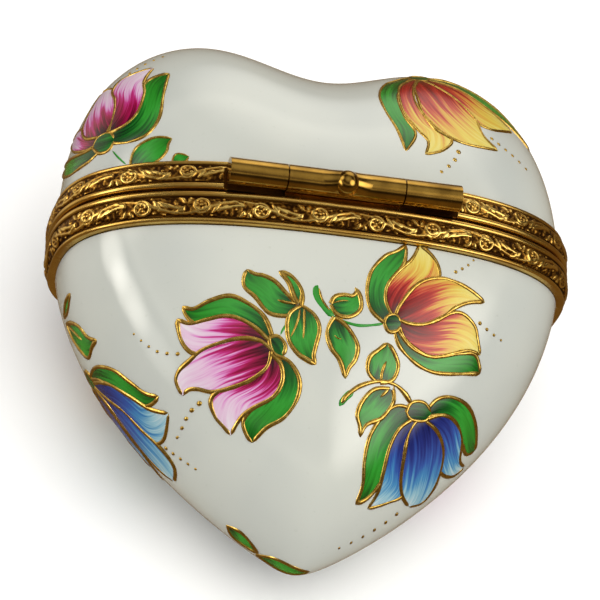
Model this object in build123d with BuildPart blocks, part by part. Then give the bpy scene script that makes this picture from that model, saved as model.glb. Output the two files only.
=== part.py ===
from build123d import *
from math import cos, exp, hypot, pi, radians, sin
import os

# Heart-shaped porcelain trinket box, in millimetres.
# The heart is cut across its widest section into a lid (the two lobes) and a base (the point).
# Each half is set in a brass rim, and a three-knuckle hinge joins the rims on the upper side.
# The box lies on a low foot moulded on the back of the base. The row's origin is the foot's centre
# on the table: +X runs along the hinge, +Y from the point of the heart to its lobes, +Z up.

# ---- driving dimensions ----
half_width = 27.0        # porcelain, along the hinge
half_depth = 15.5        # porcelain, from the hinge side to the clasp side
oval_power = 2.675       # squareness of the plan oval: 2 is an ellipse
lobe_height = 25.8       # height of the lobes if the notch were filled in
lobe_power = 2.742       # fullness of the lobes' shoulders
notch_depth = 0.187      # share of the lobe height that the notch takes away
notch_width = 0.375      # of the half width
base_depth = 34.3        # from the cut to the point of the heart
flank_power = 1.104      # straightness of the flanks: 1 is straight near the point
belly_power = 1.973      # fullness of the flanks near the cut
point_radius = 0.05      # rounding of the point, of the half width
lid_wall = 2.1
base_wall = 2.6

recline = 15.0           # the heart's axis rises this far above the table, in degrees
foot_below_axis = 17.8   # from the centre of the cut down to the table
foot_behind_cut = 6.5    # from the centre of the cut back to the foot's centre, along the table
foot_width, foot_length = 20.0, 14.0
foot_edge = 0.3

rim_clearance = 0.15     # each rim's face to the parting plane
rim_height = 3.45        # parting plane to the rim's outer edge
rim_bulge = 1.0          # how far the band stands out of the porcelain
flange_thickness = 0.6
flange_overlap = 0.3     # the flange covers the porcelain's ground edge by this much
rebate = 0.5             # step ground into the porcelain for the band
fit_gap = 0.1            # between band and porcelain
cement = 0.2             # bed of setting cement between flange and porcelain

barrel_radius = 1.4
barrel_length = 24.2
center_knuckle_length = 12.1
knuckle_gap = 0.15
axis_out = 1.6           # hinge axis beyond the porcelain
axis_up = 1.5            # hinge axis above the parting plane
pin_radius = 0.5
pin_clearance = 0.05
web_thickness = 0.4
notch_back = 0.2         # clearance of the barrel from the notch cut in the lid rim
bead_radius = 1.35

clasp_width, clasp_thickness = 5.6, 0.6
clasp_reach = 2.6        # how far the tongue hangs past the parting plane
clasp_gap = 0.15
catch_radius = 0.55
catch_height = 0.3
catch_below = 1.7        # centre of the catch below the parting plane

# ---- the heart's own frame: X along the hinge, Y towards the clasp, Z towards the lobes ----
heart = Plane(
    origin=(0, foot_behind_cut, foot_below_axis),
    x_dir=(1, 0, 0),
    z_dir=(0, cos(radians(recline)), sin(radians(recline))),
)
porcelain_edge = rim_clearance + flange_thickness + cement
hinge_y = -(half_depth + axis_out)


def at(x, y, z):
    """A point of the heart's frame, in the row's frame."""
    return heart.from_local_coords(Vector(x, y, z))


def station(x):
    """The cross plane of the heart at x: its own x is the heart's Y, its own y the heart's Z."""
    return Plane(origin=at(x, 0, 0), x_dir=heart.y_dir, z_dir=heart.x_dir)


def oval(a, b, points=48):
    """A smooth closed oval of half axes a and b that starts at the hinge side."""
    outline = []
    for i in range(points):
        turn = -pi / 2 + 2 * pi * i / points
        reach = (abs(cos(turn)) ** oval_power + abs(sin(turn)) ** oval_power) ** (-1 / oval_power)
        outline.append((a * reach * cos(turn), b * reach * sin(turn)))
    return Spline(*outline, periodic=True)


def depth_share(s):
    return (1 - abs(s) ** oval_power) ** (1 / oval_power)


def lobe_share(s):
    dome = (1 - abs(s) ** lobe_power) ** (1 / lobe_power)
    return dome * (1 - notch_depth * exp(-((s / notch_width) ** 2)))


def point_share(s):
    blunt = (hypot(s, point_radius) - point_radius) / (hypot(1, point_radius) - point_radius)
    return (1 - blunt**flank_power) ** (1 / belly_power)


def half_heart(a, b, height, share, start, count):
    """A solid half of the heart: half ellipses across the heart at each station along X."""
    with BuildPart() as half:
        slices = []
        for i in range(1, count):
            s = -cos(pi * i / count)
            with BuildSketch(station(a * s)) as section:
                with BuildLine():
                    edge = EllipticalCenterArc(
                        (0, 0), b * depth_share(s), height * share(s), start_angle=start, arc_size=180
                    )
                    Line(edge @ 0, edge @ 1)
                make_face()
            slices.append(section.sketch.faces()[0])
        ends = [Vertex(*at(side * a, 0, 0)) for side in (-1, 1)]
        loft([ends[0], *slices, ends[1]])
    return half.part


def rim(side):
    """A rim: an L-shaped brass strip bent round the oval. side is 1 for the lid, -1 for the base."""
    inner = -(base_wall + flange_overlap)
    neck = fit_gap - rebate
    profile_plane = Plane(
        origin=at(0, -half_depth, 0), x_dir=-heart.y_dir, z_dir=heart.x_dir * -side
    )
    with BuildPart() as bent:
        with BuildLine(heart) as path:
            oval(half_width, half_depth)
        with BuildSketch(profile_plane):
            with BuildLine():
                Polyline(
                    (0.65, rim_clearance),
                    (inner, rim_clearance),
                    (inner, rim_clearance + flange_thickness),
                    (neck, rim_clearance + flange_thickness),
                    (neck, rim_height),
                    (0.3, rim_height),
                )
                # a small bead at the outer edge, the convex engraved field, the plain round edge
                ThreePointArc((0.3, rim_height), (0.55, rim_height - 0.2), (0.45, rim_height - 0.45))
                ThreePointArc((0.45, rim_height - 0.45), (rim_bulge, 1.9), (0.78, 0.8))
                ThreePointArc((0.78, 0.8), (0.95, 0.45), (0.65, rim_clearance))
            make_face()
        sweep(path=path.wires()[0])
    return bent.part


def rebate_cutter(side):
    """The ring ground off the porcelain's outside so that the band can sit in it."""
    with BuildPart() as cutter:
        with BuildSketch(heart):
            with BuildLine():
                oval(half_width + 3, half_depth + 3)
            make_face()
            with BuildLine():
                oval(half_width - rebate, half_depth - rebate)
            make_face(mode=Mode.SUBTRACT)
        extrude(amount=side * (rim_height + fit_gap))
    return cutter.part


def edge_cutter(side):
    """Everything between the parting plane and the porcelain's ground edge."""
    with BuildPart() as cutter:
        with BuildSketch(heart):
            Rectangle(3 * half_width, 3 * half_depth)
        extrude(amount=side * porcelain_edge)
    return cutter.part


# ---- porcelain ----
lid_outside = half_heart(half_width, half_depth, lobe_height, lobe_share, 0, 26)
lid_inside = half_heart(
    half_width - lid_wall, half_depth - lid_wall, lobe_height - lid_wall, lobe_share, 0, 26
)
base_outside = half_heart(half_width, half_depth, base_depth, point_share, 180, 32)
base_inside = half_heart(
    half_width - base_wall, half_depth - base_wall, base_depth - 1.4 * base_wall, point_share, 180, 32
)
lid_rebate, base_rebate = rebate_cutter(1), rebate_cutter(-1)
lid_edge, base_edge = edge_cutter(1), edge_cutter(-1)

with BuildPart() as porcelain_lid:
    add(lid_outside)
    add(lid_inside, mode=Mode.SUBTRACT)
    add(lid_rebate, mode=Mode.SUBTRACT)
    add(lid_edge, mode=Mode.SUBTRACT)

with BuildPart() as porcelain_base:
    with BuildSketch():
        Ellipse(foot_width / 2, foot_length / 2)
    extrude(amount=foot_length / 4)
    fillet(porcelain_base.faces().sort_by(Axis.Z)[0].edges(), foot_edge)
    add(base_outside)
    add(base_inside, mode=Mode.SUBTRACT)
    add(base_rebate, mode=Mode.SUBTRACT)
    add(base_edge, mode=Mode.SUBTRACT)


# ---- setting cement: a thin flat ring between each flange and the porcelain's edge ----
def cement_ring(side, wall):
    with BuildPart() as bed:
        with BuildSketch(heart.offset(side * (porcelain_edge - cement))):
            with BuildLine():
                oval(half_width - rebate, half_depth - rebate)
            make_face()
            with BuildLine():
                oval(half_width - wall, half_depth - wall)
            make_face(mode=Mode.SUBTRACT)
        extrude(amount=side * cement)
    return bed


lid_setting_cement = cement_ring(1, lid_wall)
base_setting_cement = cement_ring(-1, base_wall)

# ---- rims ----
lid_ring, base_ring = rim(1), rim(-1)
notch_length = barrel_length + 0.4
notch_top = axis_up + barrel_radius + notch_back

with BuildPart() as lid_rim:
    add(lid_ring)
    # the notch that takes the hinge barrel; a strip of the band stays above it
    with BuildSketch(station(-notch_length / 2)):
        with BuildLine():
            Polyline(
                (hinge_y - 2, 0),
                (hinge_y + barrel_radius + notch_back, 0),
                (hinge_y + barrel_radius + notch_back, notch_top),
                (hinge_y - 2, notch_top),
                close=True,
            )
        make_face()
    extrude(amount=notch_length, mode=Mode.SUBTRACT)

with BuildPart() as base_rim:
    add(base_ring)


# ---- hinge ----
def knuckle(start, length, web):
    """A tube on the hinge axis with a web, a (low y, low z, high y, high z) box, to its rim."""
    low_y, low_z, high_y, high_z = web
    with BuildPart() as tube:
        with BuildSketch(station(start)):
            with Locations((hinge_y, axis_up)):
                Circle(barrel_radius)
            with Locations(((low_y + high_y) / 2, (low_z + high_z) / 2)):
                Rectangle(high_y - low_y, high_z - low_z)
            with Locations((hinge_y, axis_up)):
                Circle(pin_radius + pin_clearance, mode=Mode.SUBTRACT)
        extrude(amount=length)
    return tube


outer_length = (barrel_length - center_knuckle_length) / 2 - knuckle_gap
side_web = (
    hinge_y + pin_radius + 0.3,
    axis_up - 0.8,
    hinge_y + barrel_radius + notch_back,
    axis_up + 0.8,
)
lower_web = (
    hinge_y + barrel_radius - 0.05 - web_thickness,
    -rim_clearance,
    hinge_y + barrel_radius - 0.05,
    axis_up,
)
hinge_knuckle_left = knuckle(-barrel_length / 2, outer_length, side_web)
hinge_knuckle_right = knuckle(barrel_length / 2 - outer_length, outer_length, side_web)
hinge_knuckle_center = knuckle(-center_knuckle_length / 2, center_knuckle_length, lower_web)

with BuildPart() as hinge_pin:
    with BuildSketch(station(-barrel_length / 2)):
        with Locations((hinge_y, axis_up)):
            Circle(pin_radius)
    extrude(amount=barrel_length)

# a bead on the middle of the barrel, with its back hollowed to fit the tube
bead_seat = Plane(origin=at(0, hinge_y - 0.75, axis_up - 0.2), x_dir=heart.x_dir, z_dir=heart.z_dir)
with BuildPart() as hinge_bead:
    with BuildSketch(Plane(origin=bead_seat.origin, x_dir=heart.x_dir, z_dir=-heart.y_dir)):
        with BuildLine():
            CenterArc((0, 0), bead_radius, -90, 180)
            Line((0, bead_radius), (0, -bead_radius))
        make_face()
    revolve(axis=Axis(bead_seat.origin, heart.z_dir))
    with BuildSketch(station(-2 * bead_radius)):
        with Locations((hinge_y, axis_up)):
            Circle(barrel_radius)
    extrude(amount=4 * bead_radius, mode=Mode.SUBTRACT)
    split(bisect_by=Plane(origin=at(0, hinge_y, 0), z_dir=-heart.y_dir), keep=Keep.TOP)

# ---- clasp: a tongue on the lid rim with a window that drops over a catch on the base rim ----
clasp_inside = half_depth + rim_bulge + clasp_gap
with BuildPart() as clasp_tongue:
    with BuildSketch(Plane(origin=at(0, clasp_inside, 0), x_dir=-heart.x_dir, z_dir=heart.y_dir)):
        with BuildLine():
            half = clasp_width / 2
            top = Line((-half, rim_height - 0.5), (half, rim_height - 0.5))
            right = Line(top @ 1, (half, 0))
            tip = ThreePointArc((half, 0), (0, -clasp_reach), (-half, 0))
            Line(tip @ 1, top @ 0)
        make_face()
        with Locations((0, -catch_below)):
            Circle(catch_radius + 0.3, mode=Mode.SUBTRACT)
    extrude(amount=clasp_thickness)
    fillet(clasp_tongue.faces().sort_by(Axis(at(0, 0, 0), heart.y_dir))[-1].outer_wire().edges(), 0.2)
    # the pad that solders the tongue to the lid rim's band
    with BuildSketch(Plane(origin=at(0, clasp_inside, 0), x_dir=heart.x_dir, z_dir=-heart.y_dir)):
        with Locations((0, 1.9)):
            Rectangle(0.7 * clasp_width, 1.3)
    extrude(amount=rim_bulge)
    add(lid_ring, mode=Mode.SUBTRACT)

with BuildPart() as clasp_bead:
    with BuildSketch(
        Plane(origin=at(0, half_depth, -catch_below), x_dir=heart.x_dir, z_dir=heart.y_dir)
    ):
        Circle(catch_radius)
    extrude(amount=rim_bulge + catch_height)
    fillet(clasp_bead.faces().sort_by(Axis(at(0, 0, 0), heart.y_dir))[-1].edges(), 0.2)
    add(base_ring, mode=Mode.SUBTRACT)

# ---- labels and files ----
pieces = {
    "porcelain_lid": porcelain_lid,
    "porcelain_base": porcelain_base,
    "lid_setting_cement": lid_setting_cement,
    "base_setting_cement": base_setting_cement,
    "lid_rim": lid_rim,
    "base_rim": base_rim,
    "hinge_knuckle_left": hinge_knuckle_left,
    "hinge_knuckle_right": hinge_knuckle_right,
    "hinge_knuckle_center": hinge_knuckle_center,
    "hinge_bead": hinge_bead,
    "hinge_pin": hinge_pin,
    "clasp_tongue": clasp_tongue,
    "clasp_bead": clasp_bead,
}
os.makedirs("parts", exist_ok=True)
for name, piece in pieces.items():
    piece.part.label = name
    export_step(piece.part, f"parts/{name}.step")
    print(f"{name}: {piece.part.volume:.1f} mm3, {len(piece.part.solids())} solid")
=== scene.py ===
# %% [markdown]
# # A painted porcelain heart box with engraved brass rims
# The imported CAD model gives every part its place. This first cell loads it. Sizes below are in
# millimetres, because that is how a porcelain maker thinks, and they are turned to metres when a
# mesh is made.

# %% Load the frame
import math

import bmesh
import bpy
import numpy as np
from mathutils import Matrix, Vector


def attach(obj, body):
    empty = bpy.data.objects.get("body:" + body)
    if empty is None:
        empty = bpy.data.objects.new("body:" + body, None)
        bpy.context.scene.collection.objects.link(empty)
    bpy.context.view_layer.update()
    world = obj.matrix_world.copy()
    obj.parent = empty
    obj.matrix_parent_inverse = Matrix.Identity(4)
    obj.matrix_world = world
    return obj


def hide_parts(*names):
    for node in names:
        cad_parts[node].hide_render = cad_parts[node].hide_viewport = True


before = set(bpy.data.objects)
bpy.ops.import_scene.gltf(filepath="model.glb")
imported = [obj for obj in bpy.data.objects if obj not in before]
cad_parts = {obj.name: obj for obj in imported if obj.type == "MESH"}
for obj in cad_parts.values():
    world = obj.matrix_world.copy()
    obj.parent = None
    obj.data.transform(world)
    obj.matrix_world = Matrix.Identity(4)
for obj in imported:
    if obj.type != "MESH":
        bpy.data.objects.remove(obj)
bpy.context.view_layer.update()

MM = 0.001

# %% [markdown]
# The box lies on its back, so its own upright direction is tilted. All painting and turning is
# worked out in the heart's own directions: x to the right, y through the thickness towards the
# clasp, z from the point to the lobes. The plane z = 0 is the cut between lid and base. One
# function carries such points to the model's frame.

# %% The heart's own directions
RECLINE = math.radians(15)
HEART_ORIGIN = np.array([0.0, 6.5, 17.8])
HEART_AXES = np.array([
    [1.0, 0.0, 0.0],
    [0.0, math.sin(RECLINE), -math.cos(RECLINE)],
    [0.0, math.cos(RECLINE), math.sin(RECLINE)],
])


def to_model(points):
    """Points in the heart's millimetres to points in the model's metres."""
    return (HEART_ORIGIN + np.asarray(points, float) @ HEART_AXES) * MM


print("heart origin in metres", to_model([[0, 0, 0]])[0].round(4))

# %% [markdown]
# The camera is a long lens about 30 cm away, a little to the left and looking down at the hinge
# side. The box stood slightly turned in front of it, so the camera is rolled, and the lens is long
# because a small thing seen through a long lens from far off keeps its proportions. The directions,
# the distance and the lens were found by a separate fitting program and are typed in rounded.

# %% Camera
CAMERA_WAY = np.array([-0.1948, -0.8830, -0.4270])  # from the heart's centre, in the heart's directions
CAMERA_RIGHT = np.array([0.9740, -0.2255, 0.0219])
CAMERA_UP = np.array([-0.1156, -0.4117, 0.9040])
CAMERA_DISTANCE = 301.6
LENS_MM = 169.1
aim = -0.76 * CAMERA_RIGHT - 3.5 * CAMERA_UP

camera_data = bpy.data.cameras.new("Camera")
camera_data.lens = LENS_MM
camera_data.sensor_width = 36
camera_data.clip_start, camera_data.clip_end = 0.02, 5
camera = bpy.data.objects.new("Camera", camera_data)
bpy.context.scene.collection.objects.link(camera)
bpy.context.scene.camera = camera

back = Vector((CAMERA_WAY * CAMERA_DISTANCE - aim) @ HEART_AXES).normalized()
right = Vector(CAMERA_RIGHT @ HEART_AXES)
right = (right - back * right.dot(back)).normalized()
turn = Matrix((right, back.cross(right), back)).transposed()
place = Vector(to_model([CAMERA_WAY * CAMERA_DISTANCE])[0])
camera.matrix_world = Matrix.Translation(place) @ turn.to_4x4()
print("camera at", tuple(round(v, 3) for v in place))

# %% [markdown]
# A node material is a short chain of nodes, so one helper that adds a node, sets it and links it is
# enough. Colours are written as the hex values a painter would match by eye, and one function
# turns them to the linear values that light is reckoned with.

# %% Material helpers
def linear(hex_colour):
    """An sRGB hex colour as linear red, green, blue and alpha."""
    parts = [int(hex_colour[i:i + 2], 16) / 255 for i in (1, 3, 5)]
    return [p / 12.92 if p <= 0.04045 else ((p + 0.055) / 1.055) ** 2.4 for p in parts] + [1.0]


def add(tree, kind, inputs=None, stops=None, **settings):
    """Adds a node. An input is a value or another node's output; stops fill a colour ramp."""
    node = tree.nodes.new(kind)
    for name, value in settings.items():
        setattr(node, name, value)
    for socket, value in (inputs or {}).items():
        if isinstance(value, bpy.types.NodeSocket):
            tree.links.new(value, node.inputs[socket])
        else:
            node.inputs[socket].default_value = value
    if stops:
        ramp = node.color_ramp.elements
        while len(ramp) < len(stops):
            ramp.new(1.0)
        for element, (position, colour) in zip(ramp, stops):
            element.position, element.color = position, linear(colour)
    return node


def new_material(name):
    """An empty material with its output node."""
    material = bpy.data.materials.new(name)
    material.use_nodes = True
    material.node_tree.nodes.clear()
    return material, material.node_tree, add(material.node_tree, "ShaderNodeOutputMaterial")


def per_mm(size):
    """The scale of a noise whose blotches are about this many millimetres wide."""
    return 1 / (size * MM)


print("white in linear light", [round(c, 2) for c in linear("#ffffff")])

# %% [markdown]
# Hard-paste porcelain is a white glassy body under a clear glaze about 0.2 mm thick. The glaze
# gives sharp, clean reflections over a soft greyish white. It is never quite flat: it ripples a few
# hundredths of a millimetre over a few millimetres, and its colour drifts where it lies thicker.

# %% Glazed porcelain
GLAZE_RIPPLE_MM = 4.0
GLAZE_DRIFT_MM = 14.0
GLAZE_PINHOLE_MM = 0.5

glazed_porcelain, tree, out = new_material("glazed_hard_paste_porcelain")
where = add(tree, "ShaderNodeTexCoord")
drift = add(tree, "ShaderNodeTexNoise",
            {"Vector": where.outputs["Object"], "Scale": per_mm(GLAZE_DRIFT_MM), "Detail": 2.0})
body_colour = add(tree, "ShaderNodeValToRGB", {"Fac": drift.outputs["Fac"]},
                  stops=[(0.3, "#b6b9b2"), (0.7, "#c1c3b9")])
specks = add(tree, "ShaderNodeTexNoise",
             {"Vector": where.outputs["Object"], "Scale": per_mm(GLAZE_PINHOLE_MM), "Detail": 1.0})
speck_colour = add(tree, "ShaderNodeValToRGB", {"Fac": specks.outputs["Fac"]},
                   stops=[(0.0, "#d8d8d0"), (0.3, "#ffffff")])
glaze_colour = add(tree, "ShaderNodeMix", {"Factor": 0.5, "A": body_colour.outputs["Color"],
                                            "B": speck_colour.outputs["Color"]},
                   data_type="RGBA", blend_type="MULTIPLY")
ripple = add(tree, "ShaderNodeTexNoise",
             {"Vector": where.outputs["Object"], "Scale": per_mm(GLAZE_RIPPLE_MM), "Detail": 1.0})
gloss = add(tree, "ShaderNodeMapRange",
            {"Value": ripple.outputs["Fac"], "To Min": 0.05, "To Max": 0.12})
skin = add(tree, "ShaderNodeBump",
           {"Height": ripple.outputs["Fac"], "Strength": 0.25, "Distance": 0.06 * MM})
glaze = add(tree, "ShaderNodeBsdfPrincipled", {
    "Base Color": [o for o in glaze_colour.outputs if o.type == "RGBA"][0],
    "Roughness": gloss.outputs["Result"], "Normal": skin.outputs["Normal"],
    "IOR": 1.52, "Coat Weight": 0.35, "Coat Roughness": 0.03, "Coat IOR": 1.5,
})
tree.links.new(glaze.outputs["BSDF"], out.inputs["Surface"])
print("made", glazed_porcelain.name)

# %% [markdown]
# The rims are rolled brass strip. The pattern is pressed in, then the whole band is darkened and
# rubbed bright again, so brown stays in the hollows and the raised lines shine. The mesh carries
# that height as a value called relief, and the material turns it into colour and roughness. Where
# the lid rim makes way for the hinge barrel, the value is set low, which paints shade there.

# %% Engraved brass with dark hollows
HAND_RUB_MM = 5.0
FINE_SCRATCH_MM = 0.12  # real scratches are finer; drawn this coarse so that they show

engraved_brass, tree, out = new_material("rolled_brass_patinated_and_rubbed")
where = add(tree, "ShaderNodeTexCoord")
relief = add(tree, "ShaderNodeAttribute", attribute_name="relief")
rub = add(tree, "ShaderNodeTexNoise",
          {"Vector": where.outputs["Object"], "Scale": per_mm(HAND_RUB_MM), "Detail": 3.0})
rub_shift = add(tree, "ShaderNodeMapRange",
                {"Value": rub.outputs["Fac"], "From Min": 0.3, "From Max": 0.7,
                 "To Min": -0.14, "To Max": 0.14})
shine = add(tree, "ShaderNodeMath", {0: relief.outputs["Fac"], 1: rub_shift.outputs["Result"]},
            operation="ADD", use_clamp=True)
patina = add(tree, "ShaderNodeValToRGB", {"Fac": shine.outputs["Value"]},
             stops=[(0.05, "#3a220c"), (0.3, "#6e4a1a"), (0.6, "#b38538"), (0.95, "#e6c36c")])
scratch = add(tree, "ShaderNodeTexNoise",
              {"Vector": where.outputs["Object"], "Scale": per_mm(FINE_SCRATCH_MM), "Detail": 2.0})
worn = add(tree, "ShaderNodeMapRange",
           {"Value": shine.outputs["Value"], "To Min": 0.5, "To Max": 0.2})
grain = add(tree, "ShaderNodeBump",
            {"Height": scratch.outputs["Fac"], "Strength": 0.25, "Distance": 0.01 * MM})
brass = add(tree, "ShaderNodeBsdfPrincipled", {
    "Base Color": patina.outputs["Color"], "Metallic": 1.0,
    "Roughness": worn.outputs["Result"], "Normal": grain.outputs["Normal"],
})
tree.links.new(brass.outputs["BSDF"], out.inputs["Surface"])
print("made", engraved_brass.name)

# %% [markdown]
# The hinge barrel is drawn brass tube, filed and polished along its length. Drawing leaves very
# fine lines that run with the tube, and handling leaves a faint olive-brown tarnish in patches.

# %% Drawn and polished brass
DRAW_LINE_MM = 0.1  # the real lines are finer than the eye sees; drawn wider here
TARNISH_MM = 3.0

polished_brass, tree, out = new_material("drawn_brass_polished")
where = add(tree, "ShaderNodeTexCoord")
stretch = add(tree, "ShaderNodeMapping", {"Vector": where.outputs["Object"], "Scale": (0.03, 1.0, 1.0)})
lines = add(tree, "ShaderNodeTexNoise",
            {"Vector": stretch.outputs["Vector"], "Scale": per_mm(DRAW_LINE_MM), "Detail": 2.0})
tarnish = add(tree, "ShaderNodeTexNoise",
              {"Vector": where.outputs["Object"], "Scale": per_mm(TARNISH_MM), "Detail": 4.0})
tone = add(tree, "ShaderNodeValToRGB", {"Fac": tarnish.outputs["Fac"]},
           stops=[(0.3, "#7d5f27"), (0.5, "#a5813a"), (0.75, "#c69f4e")])
gloss = add(tree, "ShaderNodeMapRange",
            {"Value": tarnish.outputs["Fac"], "To Min": 0.2, "To Max": 0.1})
grain = add(tree, "ShaderNodeBump",
            {"Height": lines.outputs["Fac"], "Strength": 0.2, "Distance": 0.01 * MM})
brass = add(tree, "ShaderNodeBsdfPrincipled", {
    "Base Color": tone.outputs["Color"], "Metallic": 1.0,
    "Roughness": gloss.outputs["Result"], "Normal": grain.outputs["Normal"],
})
tree.links.new(brass.outputs["BSDF"], out.inputs["Surface"])
print("made", polished_brass.name)

# %% [markdown]
# Raised gold is painted over thick enamel paste and fired, then rubbed with agate. It is real gold
# colour, satin rather than mirror bright, with small unevenness from the brush.

# %% Raised burnished gold
BRUSH_DAB_MM = 0.5

raised_gold, tree, out = new_material("raised_gold_fired_and_burnished")
where = add(tree, "ShaderNodeTexCoord")
dabs = add(tree, "ShaderNodeTexNoise",
           {"Vector": where.outputs["Object"], "Scale": per_mm(BRUSH_DAB_MM), "Detail": 3.0})
tone = add(tree, "ShaderNodeValToRGB", {"Fac": dabs.outputs["Fac"]},
           stops=[(0.25, "#9c7c38"), (0.5, "#c4a04c"), (0.8, "#e8ce74")])
gloss = add(tree, "ShaderNodeMapRange",
            {"Value": dabs.outputs["Fac"], "To Min": 0.36, "To Max": 0.2})
dab_skin = add(tree, "ShaderNodeBump",
               {"Height": dabs.outputs["Fac"], "Strength": 0.5, "Distance": 0.03 * MM})
gold = add(tree, "ShaderNodeBsdfPrincipled", {
    "Base Color": tone.outputs["Color"], "Metallic": 1.0,
    "Roughness": gloss.outputs["Result"], "Normal": dab_skin.outputs["Normal"],
})
tree.links.new(gold.outputs["BSDF"], out.inputs["Surface"])
print("made", raised_gold.name)

# %% [markdown]
# Overglaze enamel is coloured glass ground fine, painted on in one or two strokes and fired. The
# painter starts dark at the flower's heart and drags the brush outwards, so colour ends in streaks
# over a pale tip. The petal meshes carry how far along the petal a point is, how far across it is
# in millimetres, and a number that is different for each petal. One function makes every colour.

# %% Overglaze enamels
STREAK_WIDTH_MM = 0.36
STREAKS_ALONG = 1.6


def enamel(name, stops, streak):
    """Glossy enamel that runs through the colour stops from heart to tip, with brush streaks."""
    material, tree, out = new_material(name)
    along = add(tree, "ShaderNodeAttribute", attribute_name="along").outputs["Fac"]
    across = add(tree, "ShaderNodeAttribute", attribute_name="across").outputs["Fac"]
    stroke = add(tree, "ShaderNodeAttribute", attribute_name="stroke").outputs["Fac"]
    sideways = add(tree, "ShaderNodeMath", {0: across, 1: 1 / STREAK_WIDTH_MM}, operation="MULTIPLY")
    lengthwise = add(tree, "ShaderNodeMath", {0: along, 1: STREAKS_ALONG}, operation="MULTIPLY")
    brush = add(tree, "ShaderNodeCombineXYZ",
                {"X": sideways.outputs["Value"], "Y": lengthwise.outputs["Value"], "Z": stroke})
    bristles = add(tree, "ShaderNodeTexNoise",
                   {"Vector": brush.outputs["Vector"], "Scale": 1.0, "Detail": 2.5, "Roughness": 0.6})
    drag = add(tree, "ShaderNodeMapRange",
               {"Value": bristles.outputs["Fac"], "From Min": 0.25, "From Max": 0.75,
                "To Min": -streak, "To Max": streak})
    reach = add(tree, "ShaderNodeMath", {0: along, 1: drag.outputs["Result"]}, operation="ADD",
                use_clamp=True)
    colour = add(tree, "ShaderNodeValToRGB", {"Fac": reach.outputs["Value"]}, stops=stops)
    gloss = add(tree, "ShaderNodeMapRange",
                {"Value": bristles.outputs["Fac"], "To Min": 0.1, "To Max": 0.22})
    skin = add(tree, "ShaderNodeBump",
               {"Height": bristles.outputs["Fac"], "Strength": 0.3, "Distance": 0.03 * MM})
    glass = add(tree, "ShaderNodeBsdfPrincipled", {
        "Base Color": colour.outputs["Color"], "Roughness": gloss.outputs["Result"],
        "Normal": skin.outputs["Normal"], "IOR": 1.5,
    })
    tree.links.new(glass.outputs["BSDF"], out.inputs["Surface"])
    print("made", name)
    return material


ENAMELS = {
    "pink": enamel("pink_overglaze_enamel", [
        (0.0, "#2c0414"), (0.16, "#5e0824"), (0.32, "#960f44"), (0.44, "#b22a76"),
        (0.53, "#c77fb4"), (0.64, "#ceabc2"), (1.0, "#d4c9cf")], 0.25),
    "yellow": enamel("yellow_overglaze_enamel", [
        (0.0, "#480608"), (0.2, "#780e0c"), (0.37, "#9c1e18"), (0.47, "#b4482c"),
        (0.57, "#c4923a"), (0.74, "#cbb348"), (1.0, "#d0c26c")], 0.25),
    "blue": enamel("blue_overglaze_enamel", [
        (0.0, "#0f1040"), (0.26, "#1f2a6c"), (0.46, "#2b4c92"), (0.63, "#3b7ca8"),
        (0.79, "#82acb9"), (1.0, "#b8c6c6")], 0.2),
    "green": enamel("green_overglaze_enamel", [
        (0.0, "#06260e"), (0.22, "#0f4f16"), (0.5, "#2c8a2a"), (0.72, "#237a1e"),
        (1.0, "#124a12")], 0.22),
}

# %% [markdown]
# The porcelain is one wall: outside, a ground step that takes the rim, the edge at the cut,
# and the inside. Its first and last loops aren't capped, so a slit under 0.2 mm wide stays open at
# each end of the cut. It is cast in two moulds and the walls are about 2 to 2.6 mm thick. Its outline
# was drawn as half ellipses across the heart, so the same rule gives the mesh: at each station
# along x, one closed loop of points goes up the outside and back down the inside. Stations are
# spaced evenly along the outline, so that the round lobes and the tight point are both smooth. The
# sizes and powers are the working model's, which were fitted by a separate program and rounded.

# %% The shape of the porcelain
HALF_WIDTH, HALF_DEPTH, OVAL_POWER = 27.0, 15.5, 2.675
LOBE_HEIGHT, LOBE_POWER, NOTCH_DEPTH, NOTCH_WIDTH = 25.8, 2.742, 0.187, 0.375
BASE_DEPTH, FLANK_POWER, BELLY_POWER, POINT_ROUNDING = 34.3, 1.104, 1.973, 0.05


def oval_share(s):
    """Half the thickness at station s, as a share of the greatest."""
    return np.clip(1 - np.abs(s) ** OVAL_POWER, 0, 1) ** (1 / OVAL_POWER)


def lobe_share(s):
    """The lid's height at station s, as a share of the greatest."""
    dome = np.clip(1 - np.abs(s) ** LOBE_POWER, 0, 1) ** (1 / LOBE_POWER)
    return dome * (1 - NOTCH_DEPTH * np.exp(-(s / NOTCH_WIDTH) ** 2))


def point_share(s):
    """The base's depth at station s, as a share of the greatest."""
    blunt = (np.hypot(s, POINT_ROUNDING) - POINT_ROUNDING) / (
        math.hypot(1, POINT_ROUNDING) - POINT_ROUNDING)
    return np.clip(1 - blunt ** FLANK_POWER, 0, 1) ** (1 / BELLY_POWER)


def even_stations(share, height, count):
    """Stations from -1 to 1 with about equal steps along the outline."""
    s = 1 - (1 - np.linspace(0, 1, 4001)) ** 3
    path = np.stack([s * HALF_WIDTH, oval_share(s) * HALF_DEPTH, share(s) * height])
    walked = np.concatenate([[0], np.cumsum(np.linalg.norm(np.diff(path, axis=1), axis=0))])
    half = np.interp(np.linspace(0, walked[-1], count), walked, s)
    return np.concatenate([-half[:0:-1], half])


def last_station(share, level):
    """The station nearest to 1 at which the share is still above a level."""
    s = 1 - np.linspace(0, 0.1, 20001)
    return s[np.argmax(share(s) >= level)]


print("stations", len(even_stations(lobe_share, LOBE_HEIGHT, 120)))

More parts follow.
